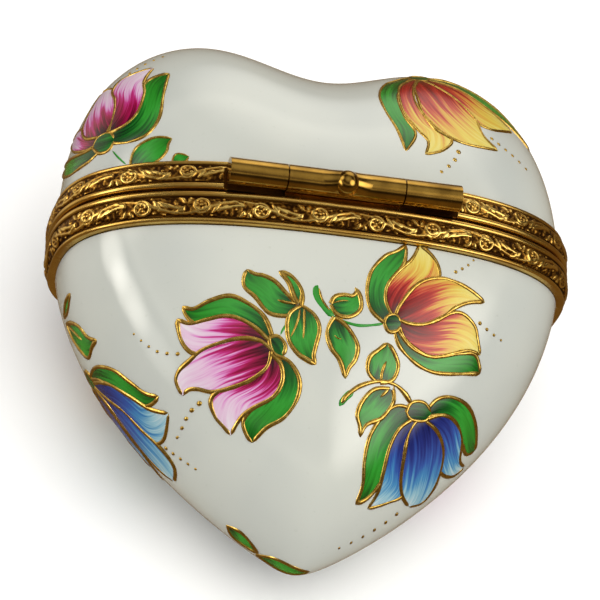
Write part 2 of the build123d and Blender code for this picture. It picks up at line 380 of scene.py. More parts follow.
# %% A helper that makes a mesh object
def make_piece(name, points, faces, body, material, values=None, crease_deg=40):
    """Joins points in heart millimetres to a smooth mesh, with its material and body."""
    mesh = bpy.data.meshes.new(name)
    mesh.from_pydata(to_model(points).tolist(), [], [list(f) for f in faces])
    for key, numbers in (values or {}).items():
        mesh.attributes.new(key, "FLOAT", "POINT").data.foreach_set(
            "value", np.asarray(numbers, np.float32))
    work = bmesh.new()
    work.from_mesh(mesh)
    bmesh.ops.remove_doubles(work, verts=work.verts, dist=1e-7)
    bmesh.ops.dissolve_degenerate(work, edges=work.edges, dist=1e-8)
    loose = [v for v in work.verts if not v.link_faces]
    bmesh.ops.delete(work, geom=loose, context="VERTS")
    bmesh.ops.recalc_face_normals(work, faces=work.faces)
    work.to_mesh(mesh)
    work.free()
    mesh.shade_smooth()
    mesh.set_sharp_from_angle(angle=math.radians(crease_deg))
    mesh.materials.append(material)
    piece = bpy.data.objects.new(name, mesh)
    bpy.context.scene.collection.objects.link(piece)
    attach(piece, body)
    print(name, len(mesh.polygons), "faces")
    return piece


def loop_faces(rings, ring_size):
    """Quads that join closed rings of points, numbered one ring after another."""
    first = np.arange(rings - 1)[:, None] * ring_size + np.arange(ring_size)[None]
    second = np.roll(first, -1, axis=1)
    return np.stack([first, second, second + ring_size, first + ring_size], -1).reshape(-1, 4)


# %% The lid and the base, in porcelain
EDGE_LEVEL, STEP_LEVEL, STEP_IN = 0.95, 3.55, 0.5
LID_WALL, BASE_WALL = 2.1, 2.6
BASE_FLOOR = 1.4 * BASE_WALL
FOOT_HALF_WIDTH, FOOT_HALF_DEPTH, FOOT_STEPS = 10, 7, 120


def porcelain_loops(side, share, height, wall, floor_wall, count, outside_points, inside_points):
    """Closed loops of points across the heart, for the lid (side 1) or the base (side -1)."""
    stations = even_stations(share, height, count)
    outer = stations * last_station(share, STEP_LEVEL / height)
    inner_height = height - floor_wall
    inner = stations * last_station(share, EDGE_LEVEL / inner_height)

    def half_ellipse(s, depth, tall, level, points):
        start = np.arcsin(np.clip(level / np.maximum(share(s) * tall, level), 0, 1))
        turn = np.linspace(0, 1, points)[None] * (math.pi - 2 * start)[:, None] + start[:, None]
        y = -np.cos(turn) * (oval_share(s) * depth)[:, None]
        z = np.sin(turn) * (share(s) * tall)[:, None]
        return y, side * z

    out_y, out_z = half_ellipse(outer, HALF_DEPTH, height, STEP_LEVEL, outside_points)
    in_y, in_z = half_ellipse(inner, HALF_DEPTH - wall, inner_height, EDGE_LEVEL, inside_points)
    out_x = np.repeat(outer[:, None] * HALF_WIDTH, outside_points, 1)
    in_x = np.repeat(inner[:, None] * (HALF_WIDTH - wall), inside_points, 1)
    neck = stations[:, None] * (HALF_WIDTH - STEP_IN)
    neck_y = (oval_share(stations) * (HALF_DEPTH - STEP_IN))[:, None]
    levels = [side * STEP_LEVEL + 0 * neck, side * EDGE_LEVEL + 0 * neck]
    x = np.hstack([out_x, neck, neck, in_x, neck, neck])
    y = np.hstack([out_y, neck_y, neck_y, in_y[:, ::-1], -neck_y, -neck_y])
    z = np.hstack([out_z, levels[0], levels[1], in_z[:, ::-1], levels[1], levels[0]])
    return np.stack([x, y, z], -1)


def foot_loops():
    """The low oval foot: rings from inside the wall down to the ground and under it."""
    # (share of the oval's size, height above the table in millimetres)
    rings = [(1.0, 3.6), (1.0, 0.9), (0.995, 0.5), (0.98, 0.2), (0.965, 0.05), (0.95, 0.0),
             (0.86, 0.0), (0.84, 0.12), (0.82, 0.35), (0.5, 0.4), (0.02, 0.42)]
    turn = np.linspace(0, 2 * math.pi, FOOT_STEPS, endpoint=False)
    return np.stack([np.stack([FOOT_HALF_WIDTH * share * np.cos(turn),
                               FOOT_HALF_DEPTH * share * np.sin(turn),
                               np.full_like(turn, high)], -1) for share, high in rings])


def from_model_mm(points):
    """Points in the model's millimetres to the heart's."""
    return (np.asarray(points, float) - HEART_ORIGIN) @ HEART_AXES.T


lid_loops = porcelain_loops(1, lobe_share, LOBE_HEIGHT, LID_WALL, LID_WALL,
                            count=110, outside_points=150, inside_points=60)
porcelain_lid = make_piece(
    "porcelain_lid_shell", lid_loops.reshape(-1, 3), loop_faces(*lid_loops.shape[:2]),
    "lid", glazed_porcelain)
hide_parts("porcelain_lid")

base_loops = porcelain_loops(-1, point_share, BASE_DEPTH, BASE_WALL, BASE_FLOOR,
                             count=125, outside_points=170, inside_points=60)
foot = foot_loops()
base_points = np.vstack([base_loops.reshape(-1, 3), from_model_mm(foot.reshape(-1, 3))])
base_faces = [list(f) for f in loop_faces(*base_loops.shape[:2])]
foot_start = base_loops.size // 3
last_ring = foot_start + (len(foot) - 1) * FOOT_STEPS
base_faces += [[v + foot_start for v in f] for f in loop_faces(*foot.shape[:2])]
base_faces.append([foot_start + i for i in range(FOOT_STEPS)])
base_faces.append([last_ring + i for i in range(FOOT_STEPS)])
porcelain_base = make_piece(
    "porcelain_base_shell", base_points, base_faces, "base", glazed_porcelain)
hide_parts("porcelain_base")

# %% [markdown]
# The band's pattern is a running scroll: a vine that waves from edge to edge, a curl in every bend
# with a small rosette in its eye, leaves that spring from the vine, and berries in the gaps. It is
# drawn once, on a small sheet of heights, as strokes that swell and taper like a graver's cut, and
# then repeated round the rim. Heights run from 0 in the hollows to 1 on the raised lines.

# %% The engraved pattern, drawn once
TILE_LENGTH, FIELD_WIDTH, TILE_STEP = 11.6, 2.3, 0.05
tile_s = np.arange(0, TILE_LENGTH, TILE_STEP)
tile_q = np.arange(0, FIELD_WIDTH + TILE_STEP / 2, TILE_STEP) - FIELD_WIDTH / 2
tile = np.zeros((len(tile_s), len(tile_q)))


def engrave(path, widths, top=1.0):
    """Raises a rounded stroke along a path on the tile. Widths are half widths, one a point."""
    path = np.asarray(path, float)
    steps = np.linspace(0, len(path) - 1, 12 * (len(path) - 1) + 1)
    s = np.interp(steps, range(len(path)), path[:, 0])
    q = np.interp(steps, range(len(path)), path[:, 1])
    w = np.interp(steps, np.linspace(0, len(path) - 1, len(widths)), widths)
    for si, qi, wi in zip(s, q, w):
        ds = (tile_s - si + TILE_LENGTH / 2) % TILE_LENGTH - TILE_LENGTH / 2
        near = np.clip(1 - (ds[:, None] ** 2 + (tile_q[None] - qi) ** 2) / wi ** 2, 0, 1)
        np.maximum(tile, top * near ** 0.5, out=tile)


def curl(middle, start, turns, outer, inner):
    """A spiral's points, from its outside to its eye."""
    angle = start + np.linspace(0, turns * 2 * math.pi, 26)
    radius = np.linspace(outer, inner, 26)
    return np.stack([middle[0] + radius * np.cos(angle), middle[1] + radius * np.sin(angle)], -1)


def rosette(middle, size, petals):
    """A small flower: round petals about a bead."""
    engrave([middle, middle], [0.26 * size] * 2)
    for k in range(petals):
        angle = 2 * math.pi * k / petals + 0.3
        tip = (middle[0] + 0.62 * size * math.cos(angle), middle[1] + 0.62 * size * math.sin(angle))
        engrave([tip, tip], [0.3 * size] * 2, 0.9)


chaser = np.random.default_rng(3)
for k in range(150):  # the ground between the scrolls is chased with small low leaves
    root = np.array([chaser.uniform(0, TILE_LENGTH), chaser.uniform(-1.1, 1.1)])
    lean, size = chaser.uniform(0, 2 * math.pi), chaser.uniform(0.3, 0.6)
    way = np.array([math.cos(lean), math.sin(lean)])
    engrave([root, root + way * size / 2, root + way * size], [0.06, 0.17, 0.05],
            chaser.uniform(0.3, 0.62))
for half, up in ((0, 1), (1, -1)):
    left = half * TILE_LENGTH / 2
    vine = [(left + t * TILE_LENGTH / 2, up * -0.8 * math.cos(math.pi * t)) for t in np.linspace(0, 1, 13)]
    engrave(vine, [0.17, 0.24, 0.17], 0.85)
    eye = (left + 1.9, up * 0.16)
    engrave(curl(eye, -up * 2.2, up * 1.3, 0.92, 0.5), [0.12, 0.2, 0.15])
    rosette(eye, 0.62, 5)
    for along, lift, lean, size in ((3.0, -0.66, 0.9, 1.1), (3.5, -0.5, 0.62, 1.25),
                                    (4.1, -0.25, 0.35, 1.3),
                                    (4.8, 0.1, 0.05, 1.1), (0.3, 0.35, 2.2, 0.8), (0.75, 0.5, 1.5, 0.6),
                                    (4.9, 0.8, -0.5, 0.8), (5.6, 0.55, -0.8, 0.7)):
        root = (left + along, up * lift)
        tip = (root[0] + size * math.cos(lean), root[1] + up * size * math.sin(lean))
        bend = (root[0] * 0.5 + tip[0] * 0.5 + 0.1, root[1] * 0.5 + tip[1] * 0.5 + up * 0.12)
        engrave([root, bend, tip], [0.1, 0.26, 0.2, 0.06])
    for s, q in ((5.3, -0.2), (3.1, 0.75), (3.6, 0.5), (0.1, -0.15), (1.0, -0.86), (2.9, -0.95),
                 (4.1, 0.9)):
        engrave([(left + s, up * q)] * 2, [0.15, 0.15], 0.9)
print("pattern", tile.shape, "raised share", round(float((tile > 0.3).mean()), 2))

# %% [markdown]
# Each rim is a bent strip, thicker at its outer face. Going over the outer face from the porcelain
# to the cut there is a plain round bead, the convex engraved field, and a plain round edge. A flange
# folds inwards over the porcelain's ground edge. The strip is swept round the oval in steps of a
# tenth of a millimetre so that the pattern is real relief, about 0.2 mm deep, pressed inwards.

# %% The rims
PRESS_DEPTH = 0.2
ROUND_STEPS = 1400


def arc_through(a, b, c, count):
    """Points on the circle through three points, from the first to the last."""
    (ax, ay), (bx, by), (cx, cy) = a, b, c
    d = 2 * (ax * (by - cy) + bx * (cy - ay) + cx * (ay - by))
    a2, b2, c2 = ax * ax + ay * ay, bx * bx + by * by, cx * cx + cy * cy
    mid = np.array([(a2 * (by - cy) + b2 * (cy - ay) + c2 * (ay - by)) / d,
                    (a2 * (cx - bx) + b2 * (ax - cx) + c2 * (bx - ax)) / d])
    turns = [math.atan2(p[1] - mid[1], p[0] - mid[0]) for p in (a, b, c)]
    turns = np.unwrap(turns)
    steps = np.linspace(turns[0], turns[2], count)
    return mid + math.hypot(a[0] - mid[0], a[1] - mid[1]) * np.stack([np.cos(steps), np.sin(steps)], -1)


bead = arc_through((0.3, 3.45), (0.55, 3.25), (0.45, 3.0), 9)
field = arc_through((0.45, 3.0), (1.0, 1.9), (0.78, 0.8), 31)
round_edge = arc_through((0.78, 0.8), (0.95, 0.45), (0.65, 0.15), 9)
flange = np.array([(-0.4, 0.15), (-1.6, 0.15), (-2.9, 0.15), (-2.9, 0.45), (-2.9, 0.75), (-1.6, 0.75),
                   (-0.4, 0.75), (-0.4, 2.1), (-0.4, 3.45)])
profile = np.vstack([bead[:-1], field, round_edge[1:], flange])
field_first, field_last = len(bead) - 1, len(bead) - 1 + len(field)


def around_oval(count):
    """Evenly spaced points on the oval with their outward directions and the way walked."""
    t = np.linspace(0, 2 * math.pi, 40001)
    x = HALF_WIDTH * np.sign(np.cos(t)) * np.abs(np.cos(t)) ** (2 / OVAL_POWER)
    y = HALF_DEPTH * np.sign(np.sin(t)) * np.abs(np.sin(t)) ** (2 / OVAL_POWER)
    walked = np.concatenate([[0], np.cumsum(np.hypot(np.diff(x), np.diff(y)))])
    steps = np.linspace(0, walked[-1], count, endpoint=False)
    x, y = np.interp(steps, walked, x), np.interp(steps, walked, y)
    out_x = np.sign(x) * np.abs(x / HALF_WIDTH) ** (OVAL_POWER - 1) / HALF_WIDTH
    out_y = np.sign(y) * np.abs(y / HALF_DEPTH) ** (OVAL_POWER - 1) / HALF_DEPTH
    size = np.hypot(out_x, out_y)
    return np.stack([x, y], -1), np.stack([out_x, out_y], -1) / size[:, None], steps, walked[-1]


def rim_mesh(side, start):
    """The rim's points and its relief values; start shifts the pattern."""
    ring, outward, walked, length = around_oval(ROUND_STEPS)
    tiles = round(length / TILE_LENGTH)
    phase = (walked / length * tiles + start) % 1 * len(tile_s)
    rows = np.arange(len(profile))
    relief = np.full((ROUND_STEPS, len(profile)), 0.8)
    across = (rows[field_first:field_last] - field_first) / (len(field) - 1) * (len(tile_q) - 1)
    low_s, low_q = np.floor(phase).astype(int) % len(tile_s), np.floor(across).astype(int)
    low_q = np.minimum(low_q, len(tile_q) - 2)
    ps, pq = (phase - np.floor(phase))[:, None], (across - low_q)[None]
    next_s = (low_s + 1) % len(tile_s)
    height = ((1 - ps) * (1 - pq) * tile[np.ix_(low_s, low_q)] + ps * (1 - pq) * tile[np.ix_(next_s, low_q)]
              + (1 - ps) * pq * tile[np.ix_(low_s, low_q + 1)] + ps * pq * tile[np.ix_(next_s, low_q + 1)])
    height[:, :2] = height[:, -2:] = 0.15  # a scored line at each side of the field
    relief[:, field_first:field_last] = height
    pressed = np.zeros_like(relief)
    pressed[:, field_first:field_last] = PRESS_DEPTH * (1 - height)
    pressed[:, [field_first, field_last - 1]] = 0
    slope = np.gradient(profile, axis=0)
    out = np.stack([slope[:, 1], -slope[:, 0]], -1)
    out = -out / np.linalg.norm(out, axis=1)[:, None]
    u = profile[None, :, 0] - pressed * out[None, :, 0]
    w = profile[None, :, 1] - pressed * out[None, :, 1]
    x = ring[:, None, 0] + outward[:, None, 0] * u
    y = ring[:, None, 1] + outward[:, None, 1] * u
    return np.stack([x, y, side * w], -1), relief


def closed_faces(rings, ring_size):
    """Quads of a swept ring that closes on itself both ways."""
    faces = loop_faces(rings + 1, ring_size)
    return faces % (rings * ring_size)


BARREL_NOTCH_HALF, BARREL_NOTCH_TOP, BARREL_NOTCH_BACK = 12.3, 3.1, -15.5
lid_points, lid_relief_and_shade = rim_mesh(1, 0.0)
x, y, z = lid_points[..., 0], lid_points[..., 1], lid_points[..., 2]
cut = (np.abs(x) < BARREL_NOTCH_HALF) & (z < BARREL_NOTCH_TOP) & (y < BARREL_NOTCH_BACK)
lid_points[..., 1] = np.where(cut, BARREL_NOTCH_BACK, y)
# the strip squashed behind the hinge barrel gets the hollows' dark brown: painted shade behind the barrel
lid_relief_and_shade = np.where(cut, 0.1, lid_relief_and_shade)
lid_rim = make_piece("lid_rim_band", lid_points.reshape(-1, 3), closed_faces(*lid_points.shape[:2]),
                     "lid", engraved_brass, {"relief": lid_relief_and_shade.ravel()}, 50)
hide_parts("lid_rim")

base_rim_points, base_relief = rim_mesh(-1, 0.37)
base_rim = make_piece("base_rim_band", base_rim_points.reshape(-1, 3),
                      closed_faces(*base_rim_points.shape[:2]),
                      "base", engraved_brass, {"relief": base_relief.ravel()}, 50)
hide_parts("base_rim")

# %% [markdown]
# The painting follows the curved porcelain. Each flower is set out flat, in millimetres, on the
# plane that touches the heart at the flower's place, and then every point is carried straight down
# to the surface. The porcelain's rule tells whether a point is inside or outside, so a point is
# walked inwards until it is inside, and the last step is halved until it lies on the glaze.

# %% Carrying flat drawings down to the porcelain
def beyond(points):
    """Negative inside the porcelain's outside surface, 0 on it, positive beyond it."""
    x, y, z = points.T
    s = np.clip(x / HALF_WIDTH, -0.9995, 0.9995)
    tall = np.where(z >= 0, lobe_share(s) * LOBE_HEIGHT, point_share(s) * BASE_DEPTH)
    return np.hypot(y / (oval_share(s) * HALF_DEPTH), z / tall) - 1


def outward_at(points):
    """The direction straight out of the surface."""
    slope = np.stack([beyond(points + 0.02 * axis) - beyond(points - 0.02 * axis) for axis in np.eye(3)], -1)
    return slope / np.linalg.norm(slope, axis=1)[:, None]


def land(points, way, reach):
    """Brings points down against a direction until they lie on the porcelain."""
    step, travel = 0.4, np.zeros(len(points))
    high = points + reach * way
    reached = np.zeros(len(points), bool)
    for _ in range(int(2 * reach / step)):
        reached |= beyond(high - (travel + step)[:, None] * way) < 0
        travel = np.where(reached, travel, travel + step)
    for k in range(1, 14):
        half = step / 2 ** k
        travel = np.where(beyond(high - (travel + half)[:, None] * way) < 0, travel, travel + half)
    landed = high - travel[:, None] * way
    if not reached.all():  # the drawing hangs over the heart's edge there, so it wraps round
        stray = points[~reached].copy()
        for _ in range(12):
            stray -= beyond(stray)[:, None] * outward_at(stray) * 6
        landed[~reached] = stray
    return landed


class Seat:
    """The place of a flower: a point on the porcelain with its right, up and outward directions."""

    def __init__(self, x, z, side=-1, spin=0.0, size=1.0):
        self.middle = land(np.array([[x, 0.0, z]]), np.array([0.0, side, 0.0]), 20)[0]
        self.out = outward_at(self.middle[None])[0]
        right = np.array([-side, 0.0, 0.0])
        right = right - self.out * (right @ self.out)
        right /= np.linalg.norm(right)
        up = np.cross(self.out, right)
        c, s = math.cos(math.radians(spin)), math.sin(math.radians(spin))
        self.right, self.up = c * right + s * up, c * up - s * right
        self.size = size

    def place(self, flat, lift=0.0):
        """Flat points to points on the porcelain, lifted by some height."""
        flat = np.asarray(flat, float) * self.size
        spots = self.middle + flat[:, :1] * self.right + flat[:, 1:] * self.up
        spots = land(spots, self.out, 9)
        return spots + outward_at(spots) * np.reshape(lift, (-1, 1))


print("seat on the front", Seat(-5.8, -15.5).out.round(2))

# %% Smooth lines through a few points
def smooth_line(points, count):
    """Evenly spaced points on a smooth curve through the given ones."""
    p = np.asarray(points, float)
    if len(p) == 2:
        p = np.array([p[0], p.mean(0), p[1]])
    knots = np.concatenate([[0], np.cumsum(np.linalg.norm(np.diff(p, axis=0), axis=1) ** 0.6)])
    slopes = np.empty_like(p)
    slopes[1:-1] = (p[2:] - p[:-2]) / (knots[2:] - knots[:-2])[:, None]
    slopes[0] = 1.5 * (p[1] - p[0]) / (knots[1] - knots[0]) - 0.5 * slopes[1]
    slopes[-1] = 1.5 * (p[-1] - p[-2]) / (knots[-1] - knots[-2]) - 0.5 * slopes[-2]
    t = np.linspace(0, knots[-1], 40 * len(p))
    i = np.clip(np.searchsorted(knots, t, side="right") - 1, 0, len(p) - 2)
    span = (knots[i + 1] - knots[i])[:, None]
    f = (t - knots[i])[:, None] / span
    line = ((2 * f ** 3 - 3 * f ** 2 + 1) * p[i] + (f ** 3 - 2 * f ** 2 + f) * span * slopes[i]
            + (3 * f ** 2 - 2 * f ** 3) * p[i + 1] + (f ** 3 - f ** 2) * span * slopes[i + 1])
    walked = np.concatenate([[0], np.cumsum(np.linalg.norm(np.diff(line, axis=0), axis=1))])
    steps = np.linspace(0, walked[-1], count)
    return np.stack([np.interp(steps, walked, line[:, k]) for k in (0, 1)], -1)


def line_length(points):
    return float(np.linalg.norm(np.diff(smooth_line(points, 40), axis=0), axis=1).sum())


def inside_outline(points, outline):
    """Which flat points lie inside a closed outline."""
    x, y = points[:, :1], points[:, 1:]
    ax, ay = outline[:, 0], outline[:, 1]
    bx, by = np.roll(ax, -1), np.roll(ay, -1)
    crosses = (ay > y) != (by > y)
    at_x = ax + (y - ay) * (bx - ax) / np.where(by == ay, 1e-9, by - ay)
    return (crosses & (x < at_x)).sum(1) % 2 == 1


print("a test line has", len(smooth_line([(0, 0), (1, 1), (2, 0)], 9)), "points")

# %% [markdown]
# Three kinds of brush work make all the painting. A filled shape lies between two edges that run
# from its base to its tip, and is a thin blanket of enamel. A ridge is a rounded cord of paste gold
# or a green stem. A dot is a small dome. What would reach under a rim is left out, so the painting
# has open edges there. Everything of one finish on one half of the box is gathered here and becomes
# one piece at the end.

# %% Brush work: fills, ridges and dots
LINE_STEP = 0.22
RIM_COVERS = 3.46  # painting nearer to the cut than this would lie under a rim
FIRST_LAYER, LAYER_STEP, BURIED = 0.02, 0.012, 0.05  # heights of the enamel on the glaze
FILL_STEP, ENAMEL_DOME = 0.3, 0.02
RIDGE_SUNK, STEM_HEIGHT = 0.03, 0.1
DOT_POINTS, DOT_HEIGHT = 12, 0.75
random = np.random.default_rng(7)
gathered = {}


def gather(body, finish, points, faces, along=None, across=None, stroke=0.0):
    """Keeps a bit of painting until all of its finish is there."""
    pots = gathered.setdefault((body, finish), {"points": [], "faces": [], "along": [], "across": [],
                                                "stroke": [], "count": 0})
    keep = (np.abs(points[:, 2]) > RIM_COVERS)[faces].all(1)  # none under the rim
    pots["points"].append(points)
    pots["faces"].append(faces[keep] + pots["count"])
    pots["along"].append(np.zeros(len(points)) if along is None else along)
    pots["across"].append(np.zeros(len(points)) if across is None else across)
    pots["stroke"].append(np.full(len(points), stroke))
    pots["count"] += len(points)


def fill(seat, body, finish, edges, lift, stroke, tones=(0.0, 1.0)):
    """A thin blanket of enamel between two edges, domed a little, with an underside.
    Tones are the shares of the colour run at its base and tip."""
    rows = max(10, int(max(line_length(e) for e in edges) / FILL_STEP))
    left, right = (smooth_line(e, rows + 1) for e in edges)
    columns = 10
    share = np.linspace(0, 1, columns + 1)
    flat = left[:, None] * (1 - share)[None, :, None] + right[:, None] * share[None, :, None]
    width = np.linalg.norm(right - left, axis=1)[:, None]
    across = (share[None] - 0.5) * width
    along = np.repeat(np.linspace(*tones, rows + 1)[:, None], columns + 1, 1)
    dome = lift + ENAMEL_DOME * (1 - (2 * share[None] - 1) ** 2) * np.minimum(width, 2) + 0 * along
    top = seat.place(flat.reshape(-1, 2), dome.ravel())
    under = seat.place(flat.reshape(-1, 2), -BURIED)
    size = (rows + 1) * (columns + 1)
    grid = np.arange(size).reshape(rows + 1, columns + 1)
    quads = np.stack([grid[:-1, :-1], grid[:-1, 1:], grid[1:, 1:], grid[1:, :-1]], -1).reshape(-1, 4)
    rim_loop = np.concatenate([grid[0, :-1], grid[:-1, -1], grid[-1, :0:-1], grid[:0:-1, 0]])
    after = np.roll(rim_loop, -1)
    walls = np.stack([rim_loop, rim_loop + size, after + size, after], -1)
    gather(body, finish, np.vstack([top, under]), np.vstack([quads, quads[:, ::-1] + size, walls]),
           np.tile(along.ravel(), 2), np.tile(across.ravel(), 2), stroke)
    return np.vstack([left, right[::-1]])


def ridge(seat, body, finish, line, width, height, tapers=(True, True)):
    """A rounded cord laid along a flat line, with softly pointed ends."""
    spots = seat.place(line)
    out = outward_at(spots)
    ahead = np.gradient(spots, axis=0)
    side = np.cross(ahead, out)
    side /= np.linalg.norm(side, axis=1)[:, None]
    count = len(spots)
    from_start, from_end = np.arange(count) * LINE_STEP, np.arange(count)[::-1] * LINE_STEP
    wobble = 1 + 0.13 * np.interp(np.arange(count), np.arange(0, count + 6, 6),
                                  random.standard_normal(len(np.arange(0, count + 6, 6))))
    swell = np.clip(wobble, 0.75, 1.3)
    for near, on in ((from_start, tapers[0]), (from_end, tapers[1])):
        if on:
            swell = swell * np.clip(0.25 + near / 0.5, 0, 1)
    turn = np.linspace(0, math.pi, 7)
    spread = (np.cos(turn) * width / 2)[None, :, None]
    rise = (np.sin(turn) * height)[None, :] * swell[:, None] - RIDGE_SUNK
    rings = (spots[:, None] + side[:, None] * spread * swell[:, None, None]
             + out[:, None] * rise[..., None])
    faces = loop_faces(count, 7)
    last = (count - 1) * 7
    caps = [[0, 1, 2, 3], [0, 3, 4, 5], [0, 5, 6, 6], [last + 3, last + 2, last + 1, last],
            [last + 5, last + 4, last + 3, last], [last + 6, last + 6, last + 5, last]]
    share = np.repeat(np.linspace(0, 1, count), 7)
    gather(body, finish, rings.reshape(-1, 3), np.vstack([faces, np.array(caps)]), 0.35 + 0.3 * share,
           np.tile(np.cos(turn) * width / 2, count), random.uniform(0, 50))


def dot(seat, body, finish, spot, radius):
    """A small dome of paste gold. Its caps join every second point of a ring, so hairline gaps stay
    beside them at the top and underneath."""
    turn = np.linspace(0, 2 * math.pi, DOT_POINTS, endpoint=False)
    rings = [(1.0, -0.03), (0.94, 0.3), (0.7, 0.62), (0.35, 0.85), (0.05, 0.9)]
    flat = [np.asarray(spot) + radius * r * np.stack([np.cos(turn), np.sin(turn)], -1) for r, _ in rings]
    lift = np.repeat([h * radius * DOT_HEIGHT for _, h in rings], DOT_POINTS)
    points = seat.place(np.vstack(flat), lift)
    caps = [[48, 50, 52, 54], [48, 54, 56, 58], [6, 4, 2, 0], [10, 8, 6, 0]]
    gather(body, finish, points, np.vstack([loop_faces(len(rings), DOT_POINTS), np.array(caps)]))


GOLD_WIDTH, GOLD_HEIGHT, SINGLE_LINE_EXTRA = 0.5, 0.19, 0.04


def paint(seat, body, shapes, colours, lines=(), rows=(), gold_width=GOLD_WIDTH):
    """Paints a motif: shapes from the lowest to the topmost, then single lines and rows of dots."""
    outlines = []
    for k, (name, edges) in enumerate(shapes.items()):
        kind = name.split("_")[0]
        finish = colours.get(kind, "green")
        tones = (0.0, 0.3) if kind == "calyx" else (0.0, 1.0)
        lift = FIRST_LAYER + LAYER_STEP * k
        outline = fill(seat, body, finish, edges, lift, random.uniform(0, 90), tones)
        outlines.append((edges, outline))
    for k, (edges, _) in enumerate(outlines):
        for edge in edges:
            count = max(6, int(line_length(edge) / LINE_STEP))
            line = smooth_line(edge, count)
            hidden = np.zeros(count, bool)
            for _, above in outlines[k + 1:]:
                hidden |= inside_outline(line, above)
            starts = np.flatnonzero(~hidden & np.concatenate([[True], hidden[:-1]]))
            for first in starts:
                last = first
                while last + 1 < count and not hidden[last + 1]:
                    last += 1
                if last - first > 3:
                    ridge(seat, body, "gold", line[first:last + 1], gold_width, GOLD_HEIGHT,
                          (False, last == count - 1))
    for finish, width, line in lines:
        count = max(6, int(line_length(line) / LINE_STEP))
        height = GOLD_HEIGHT + SINGLE_LINE_EXTRA if finish == "gold" else STEM_HEIGHT
        ridge(seat, body, finish, smooth_line(line, count), width, height)
    for line, count, big, small in rows:
        for share, spot in zip(np.linspace(0, 1, count), smooth_line(line, count)):
            dot(seat, body, "gold", spot, big + (small - big) * share)


print("gold lines are", GOLD_WIDTH, "mm wide")

# %% [markdown]
# The tulips. Each has three petals, the middle one on top, two long green sepals that hug them, and
# a small round calyx where the stem meets. An outline is two edges from base to tip, as points in
# millimetres from the calyx, right and up. Most of these numbers were not made up here: the points
# were marked by eye, and a separate program turned them into millimetres on the porcelain and
# rounded them. The same goes for the leaves and flowers of the next two code cells.

# %% Tulips on the front of the base
PINK_TULIP = {
    "sepal_upper": ([(-.5, .6), (-1.6, 2.8), (-3.3, 4.0), (-5.2, 4.6), (-7.2, 3.9), (-8.7, 3.0),
                     (-9.8, 3.2)],
                    [(-.7, .4), (-3.3, 1.3), (-6.0, 1.8), (-8.4, 1.6), (-9.3, 2.2), (-9.8, 3.2)]),
    "sepal_lower": ([(-.1, -1.0), (1.4, -1.6), (2.5, -3.3), (2.4, -5.2), (1.3, -7.1), (-.4, -8.3),
                     (-1.6, -9.8)],
                    [(-.4, -1.4), (-.3, -3.9), (-2.0, -6.5), (-2.7, -7.8), (-2.3, -9.0), (-1.6, -9.8)]),
    "petal_upper": ([(-.8, .3), (-2.4, 1.6), (-4.2, 2.4), (-5.6, 2.5), (-7.3, 2.0), (-8.9, 1.5),
                     (-10.2, 1.9)],
                    [(-.9, .1), (-3.1, -.3), (-6.2, -1.5), (-8.4, -1.4), (-9.6, -.2), (-10.2, 1.9)]),
    "petal_lower": ([(-.6, -1.0), (.5, -1.9), (.8, -3.6), (0, -5.2), (-1.8, -6.4), (-3.0, -7.5),
                     (-3.8, -9.2)],
                    [(-.8, -1.2), (-2.3, -3.7), (-5.4, -5.0), (-6.1, -6.0), (-5.5, -7.5), (-4.6, -8.4),
                     (-3.8, -9.2)]),
    "petal_middle": ([(-.6, -.5), (-1.8, .3), (-3.6, .4), (-5.7, -.2), (-7.5, -1.1), (-8.6, -2.2),
                      (-9.5, -3.2),
                      (-9.7, -4.2), (-8.9, -5.6)],
                     [(-.6, -.7), (-.9, -2.3), (-2.3, -3.6), (-4.0, -4.5), (-6.0, -5.1), (-7.5, -4.9),
                      (-8.4, -5.0),
                      (-8.9, -5.6)]),
    "calyx": ([(-.9, .7), (0, .9), (.8, 0), (.5, -1.1)], [(-.9, .7), (-.7, -.1), (-.2, -.9), (.5, -1.1)]),
}
YELLOW_TULIP = {
    "sepal_upper": ([(-.5, -.2), (-2.1, 1.0), (-2.6, 2.9), (-2.2, 5.1), (-.8, 6.9), (.4, 7.6), (1.4, 8.4)],
                    [(0, .7), (-.5, 2.2), (-.4, 3.7), (.5, 5.2), (1.3, 6.7), (1.4, 8.4)]),
    "sepal_lower": ([(.5, -.8), (1.2, -2.4), (3.0, -3.8), (4.9, -4.4), (7.0, -4.3), (10.7, -3.6)],
                    [(.9, -.8), (2.6, -2.4), (5.0, -2.9), (8.0, -2.1), (9.8, -1.9), (10.7, -3.6)]),
    "petal_upper": ([(.1, .8), (-.6, 2.2), (-.5, 3.7), (.5, 5.3), (2.0, 6.9), (2.8, 8.6)],
                    [(.4, .8), (2.2, 2.7), (4.1, 4.3), (5.1, 5.5), (4.8, 6.9), (3.9, 7.9), (2.8, 8.6)]),
    "petal_lower": ([(.9, 0), (1.7, -1.5), (3.4, -2.6), (5.1, -2.9), (7.4, -2.1), (9.0, -1.6),
                     (10.4, -1.8)],
                    [(1.3, .2), (4.1, .4), (6.7, 1.9), (8.0, 2.0), (9.4, 1.0), (9.9, -.3), (10.4, -1.8)]),
    "petal_middle": ([(.5, .7), (1.0, 2.0), (2.4, 4.0), (3.8, 5.0), (5.7, 5.4), (8.0, 4.9), (10.4, 3.7)],
                     [(.5, .6), (1.9, .1), (3.8, .3), (5.6, 1.3), (7.0, 2.5), (8.5, 3.3), (10.4, 3.7)]),
    "calyx": ([(-.6, -.2), (-.3, .6), (.6, .8), (1.1, 0)], [(-.6, -.2), (-.1, -1.0), (.8, -.8), (1.1, 0)]),
}
